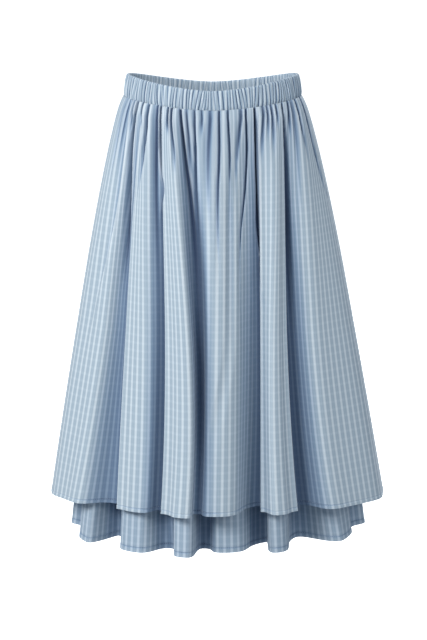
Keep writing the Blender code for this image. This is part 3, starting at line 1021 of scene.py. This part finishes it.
        turns = 2.0 * math.pi / self.weave_pitch
        warp = math_node("SINE", math_node("MULTIPLY", u, turns), 0.0)
        weft = math_node("SINE", math_node("MULTIPLY", v, turns), 0.0)
        weave = math_node("ADD", math_node("MULTIPLY", warp, weft), yarn.outputs["Fac"])
        bump = nodes.new("ShaderNodeBump")
        set_inputs(bump, {"Strength": 0.12, "Distance": 0.0002})
        links.new(weave, bump.inputs["Height"])
        links.new(bump.outputs["Normal"], shader.inputs["Normal"])
        return made


@dataclass
class Waistband:
    """The ruched elastic casing, in a front and a back half, in mm.

    Attributes:
        wall: Thickness of the casing with its elastic.
        half_length: Length of one half along the waist.
        flat_width: Width of one half's cloth before it is ruched.
        flat_step: How far down the flat cloth one row of points lies below the last.
        slant: How far the ribs lean to a side.
        rim: How far the top edge stands out.
        scallop: How far the ribs reach down over the seam.
        bulge: How far the band's middle stands out.
    """

    form: SkirtForm
    wall: float = 3.0
    ribs_a_half: int = 76
    rib_height: float = 3.0
    inner_height: float = 1.8
    slant: float = 3.0
    rim: float = 0.9
    scallop: float = 1.6
    bulge: float = 0.8
    columns: int = 760
    face_rows: int = 16
    edge_rows: int = 5
    seed: int = 11
    half_length: float = 380.0
    flat_width: float = 560.0
    flat_step: float = 2.4

    def ribs(self, side: Side) -> tuple[np.ndarray, np.ndarray, np.ndarray]:
        """The ribs of one half: their borders as shares of its length, sizes and fades."""
        random = np.random.default_rng(self.seed + side.value)
        widths = random.uniform(0.6, 1.4, self.ribs_a_half)
        borders = np.concatenate([[0.0], np.cumsum(widths) / widths.sum()])
        sizes = random.uniform(0.6, 1.0, self.ribs_a_half)
        return borders, sizes, random.uniform(-0.7, 0.7, self.ribs_a_half)

    def height_at(self, side: Side, share: np.ndarray,
                  up: np.ndarray) -> tuple[np.ndarray, np.ndarray]:
        """How high the ribs stand, and the painted shade in the grooves between them.

        Args:
            side: Front or back half.
            share: Place along the half, 0 to 1.
            up: Place up the band, 0 at the seam to 1 at the top.

        Returns:
            The height and the painted shade at each place, both 0 to 1.
        """
        borders, sizes, fades = self.ribs(side)
        waves = np.sin(share * 23.0 + 1.0) + 0.7 * np.sin(share * 61.0 + 2.0)
        lean = waves * self.slant / self.half_length
        edge = np.clip(np.minimum(share, 1.0 - share) * 30.0, 0.0, 1.0)
        moved = np.clip(share + lean * (up - 0.5) * edge, 0.0, 1.0)
        number = np.clip(np.searchsorted(borders, moved, side="right") - 1, 0, len(sizes) - 1)
        w = (moved - borders[number]) / (borders[number + 1] - borders[number])
        crest = np.sin(math.pi * np.clip(w, 0.0, 1.0)) ** 0.55
        fade = 1.0 - np.abs(fades[number]) * np.where(fades[number] > 0, up, 1.0 - up)
        groove = np.clip(1.4 - 1.3 * crest, 0.0, 1.0) * (0.4 + 0.6 * sizes[number] * fade)
        return crest * sizes[number] * fade, groove

    def build_half(self, side: Side, finish: CheckedCotton) -> bpy.types.Object:
        """Makes one half of the casing as a closed tube of cloth.

        Args:
            side: Front or back half.
            finish: The cloth's finish.

        Returns:
            The piece, riding on the skirt and standing for its plain solid.
        """
        share = np.linspace(0.0, 1.0, self.columns)
        turn = (share - 0.5) * math.pi + (0.0 if side is Side.FRONT else math.pi)
        rise = self.form.side_rise(turn)
        top = self.form.band_top_front + self.form.band_top_rise * rise
        bottom = self.form.seam_front + self.form.seam_rise * rise
        top_half, seam_half = self.form.band_top_half, self.form.seam_half
        loop = [(up, 0.0) for up in np.linspace(0.0, 1.0, self.face_rows)]
        loop += [(1.0, i / (self.edge_rows + 1)) for i in range(1, self.edge_rows + 1)]
        loop += [(up, 1.0) for up in np.linspace(1.0, 0.0, self.face_rows)]
        loop += [(0.0, 1.0 - i / (self.edge_rows + 1)) for i in range(1, self.edge_rows + 1)]
        gathered, _ = self.height_at(side, share, np.zeros_like(share))
        bottom = bottom - self.scallop * gathered
        rows, flat, depth, down = [], [], [], 0.0
        for up, across in loop:
            ups = np.full_like(share, up)
            height, groove = self.height_at(side, share, ups)
            round_off = math.sin(math.pi * across)
            lift = 0.5 * self.wall * round_off * (1.0 if up > 0.5 else -0.4)
            near = min(up, 1.0 - up)
            full = 0.4 + 0.6 * min(1.0, near * 5.0)
            outer = self.rib_height * height * full + self.bulge * 4.0 * up * (1.0 - up)
            outer = outer + self.rim * math.exp(-((up - 0.96) / 0.05) ** 2)
            inner = -self.wall - self.inner_height * height * full
            out = outer * (1.0 - across) + inner * across
            half_x = seam_half[0] + (top_half[0] - seam_half[0]) * up + out
            half_y = seam_half[1] + (top_half[1] - seam_half[1]) * up + out
            z = bottom + (top - bottom) * up + lift
            x = half_x * np.sin(turn) + self.form.lean
            rows.append(np.column_stack([x, -half_y * np.cos(turn), z]))
            flat.append(np.column_stack([share * self.flat_width, np.full_like(share, down)]) * MM)
            down += self.flat_step
            # Painted shade in the grooves between the ribs, a little less towards the inside.
            depth.append(groove * (1.0 - 0.2 * across))
        count = len(loop)
        points = np.vstack(rows) * MM
        number = np.arange(count * self.columns).reshape(count, self.columns)
        after = np.roll(number, -1, axis=0)
        faces = np.stack([number[:, :-1], number[:, 1:], after[:, 1:], after[:, :-1]],
                         axis=-1).reshape(-1, 4)
        caps = []
        half = count // 2
        for column, flip in ((0, False), (self.columns - 1, True)):
            ring = number[:, column]
            for i in range(half - 1):
                quad = [ring[i], ring[i + 1], ring[count - 2 - i], ring[count - 1 - i]]
                caps.append(quad if flip else quad[::-1])
        faces = np.vstack([faces, np.array(caps)])
        piece = place_mesh(f"waistband_{side.name.lower()}_casing", points, faces,
                           np.vstack(flat), np.concatenate(depth))
        piece.data.materials.append(finish.material())
        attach(piece, BODY)
        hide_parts(f"waistband_{side.name.lower()}")
        log.info("%s: %d points", piece.name, len(piece.data.vertices))
        return piece


def random_creases(count: int, half_width: float, seed: int) -> tuple[Crease, ...]:
    """Gathers for a panel that the photograph doesn't show, as uneven as the front's.

    Args:
        count: How many gathers.
        half_width: Half the panel's width at the seam, in mm.
        seed: Which set of gathers.

    Returns:
        The gathers.
    """
    random = np.random.default_rng(seed)
    steps = random.uniform(0.6, 1.5, count + 1)
    places = np.cumsum(steps)[:-1] / steps.sum()
    made = []
    for place in places:
        x = half_width * math.sin((place - 0.5) * math.pi)
        drift = random.uniform(-40.0, 40.0)
        path = tuple(float(x * (1.0 + 0.75 * (level - 0.02)) + drift * (level - 0.02))
                     for level in CREASE_LEVELS[:5])
        sides = random.uniform(0.8, 1.3) * np.array([5.0, 2.8])
        end, depth = random.uniform(0.12, 0.6), random.uniform(4.0, 7.5)
        calm = 0.5 + 0.5 * math.cos((place - 0.5) * math.pi)
        made.append(Crease(path, float(end), float(depth * calm), float(sides[0]),
                           float(sides[1]), dark=float(0.4 + 0.5 * calm)))
    return tuple(made)


@dataclass
class Studio:
    """The floor, the soft light and the camera."""

    floor_z: float = -1.05
    floor_half: float = 40.0
    camera_place: tuple[float, float, float] = (0.0, -4.15, 0.378)
    camera_tilt: float = 10.24
    lens: float = 142.875
    light_aim: tuple[float, float, float] = (0.0, 0.0, -0.35)

    def build_floor(self) -> None:
        """Lays a large pale floor under the skirt."""
        bpy.ops.object.select_all(action="DESELECT")
        bpy.ops.mesh.primitive_plane_add(size=2.0 * self.floor_half,
                                         location=(0.0, 0.0, self.floor_z))
        floor = bpy.context.object
        floor.name = "studio_floor"
        pale = bpy.data.materials.new("studio white")
        pale.use_nodes = True
        shader = pale.node_tree.nodes["Principled BSDF"]
        set_inputs(shader, {"Base Color": (0.9, 0.9, 0.9, 1.0), "Roughness": 1.0,
                            "Specular IOR Level": 0.0, "Emission Color": (1.0, 1.0, 1.0, 1.0),
                            "Emission Strength": 1.0})
        floor.data.materials.append(pale)
        floor.visible_diffuse = False
        floor.visible_glossy = False

    def add_area(self, name: str, place: tuple[float, float, float], size: float, power: float,
                 colour: tuple[float, float, float]) -> None:
        """Adds a square soft light aimed at the middle of the skirt."""
        data = bpy.data.lights.new(name, "AREA")
        data.shape = "SQUARE"
        data.size = size
        data.energy = power
        data.color = colour
        lamp = bpy.data.objects.new(name, data)
        lamp.location = place
        aim = Vector(self.light_aim) - Vector(place)
        lamp.rotation_euler = aim.to_track_quat("-Z", "Y").to_euler()
        bpy.context.scene.collection.objects.link(lamp)

    def build_light(self) -> None:
        """Sets the world's light and the lamps."""
        scene = bpy.context.scene
        world = bpy.data.worlds.new("studio")
        scene.world = world
        world.use_nodes = True
        nodes, links = world.node_tree.nodes, world.node_tree.links
        nodes.clear()
        path = nodes.new("ShaderNodeLightPath")
        fill = nodes.new("ShaderNodeBackground")
        set_inputs(fill, {"Color": (0.82, 0.905, 1.0, 1.0), "Strength": 0.42})
        white = nodes.new("ShaderNodeBackground")
        set_inputs(white, {"Color": (1.0, 1.0, 1.0, 1.0), "Strength": 1.05})
        mix = nodes.new("ShaderNodeMixShader")
        output = nodes.new("ShaderNodeOutputWorld")
        links.new(path.outputs["Is Camera Ray"], mix.inputs["Fac"])
        links.new(fill.outputs["Background"], mix.inputs[1])
        links.new(white.outputs["Background"], mix.inputs[2])
        links.new(mix.outputs["Shader"], output.inputs["Surface"])
        self.add_area("key_light", (-1.9, -3.2, 1.8), 1.3, 114.0, (1.0, 0.985, 0.955))
        self.add_area("right_light", (2.6, -2.7, 1.0), 1.6, 30.0, (1.0, 0.99, 0.97))
        self.add_area("side_light", (-3.3, -0.9, 1.1), 0.8, 42.0, (1.0, 0.99, 0.97))
        self.add_area("back_light", (1.7, 3.4, 1.5), 1.4, 105.0, (1.0, 0.99, 0.97))
        scene.view_settings.view_transform = "Standard"
        scene.view_settings.look = "None"

    def build_camera(self) -> None:
        """Places the camera at the photograph's angle."""
        data = bpy.data.cameras.new("camera")
        data.lens = self.lens
        data.sensor_width = 36.0
        camera = bpy.data.objects.new("camera", data)
        camera.location = self.camera_place
        camera.rotation_euler = (math.radians(90.0 - self.camera_tilt), 0.0, 0.0)
        bpy.context.scene.collection.objects.link(camera)
        bpy.context.scene.camera = camera

    def build(self) -> None:
        """Makes the floor, the light and the camera."""
        self.build_floor()
        self.build_light()
        self.build_camera()


def make_panels(form: SkirtForm) -> dict[str, ClothPanel]:
    """The four sewn panels, by the names of the plain solids that they stand for."""
    outer = LayerSizes(0.0, (278.0, 196.0), -660.0, 0.0, 368, 119, 6.0, 650.0)
    under = LayerSizes(4.0, (246.0, 178.0), -731.0, 14.0, 240, 90, 8.0, 720.0, rise_power=20.0)
    # The under layer's dim is an all-over painted shade for lying in the outer layer's shadow; its fold
    # shading is flatter.
    inside = {"crest_height": 3.0, "outward": -1.0, "dim": 0.38, "edge_weight": 0.1,
              "view_window": 14.0, "view_growth": 16.0}
    return {
        "outer_front": ClothPanel("outer_front_cloth", "outer_front", Side.FRONT, form, outer,
                                  OUTER_FRONT_FOLDS, FRONT_CREASES),
        "outer_back": ClothPanel("outer_back_cloth", "outer_back", Side.BACK, form, outer,
                                 OUTER_BACK_FOLDS, random_creases(30, 143.0, 3)),
        "under_front": ClothPanel("under_front_cloth", "under_front", Side.FRONT, form, under,
                                  UNDER_FRONT_FOLDS, random_creases(22, 138.0, 5), **inside),
        "under_back": ClothPanel("under_back_cloth", "under_back", Side.BACK, form, under,
                                 UNDER_BACK_FOLDS, random_creases(22, 138.0, 8), **inside),
    }


def main() -> None:
    """Builds the skirt's pieces in order, then the studio, and notes the sizes."""
    form = SkirtForm()
    cotton = CheckedCotton()
    casing = CheckedCotton(name="ruched checked cotton")
    thread = Thread()
    band = Waistband(form)
    for side in (Side.FRONT, Side.BACK):
        piece = band.build_half(side, casing)
    for node, panel in make_panels(form).items():
        piece = panel.build(cotton)
        stitches = panel.stitches(thread)
    Studio().build()


if __name__ == "__main__":
    main()
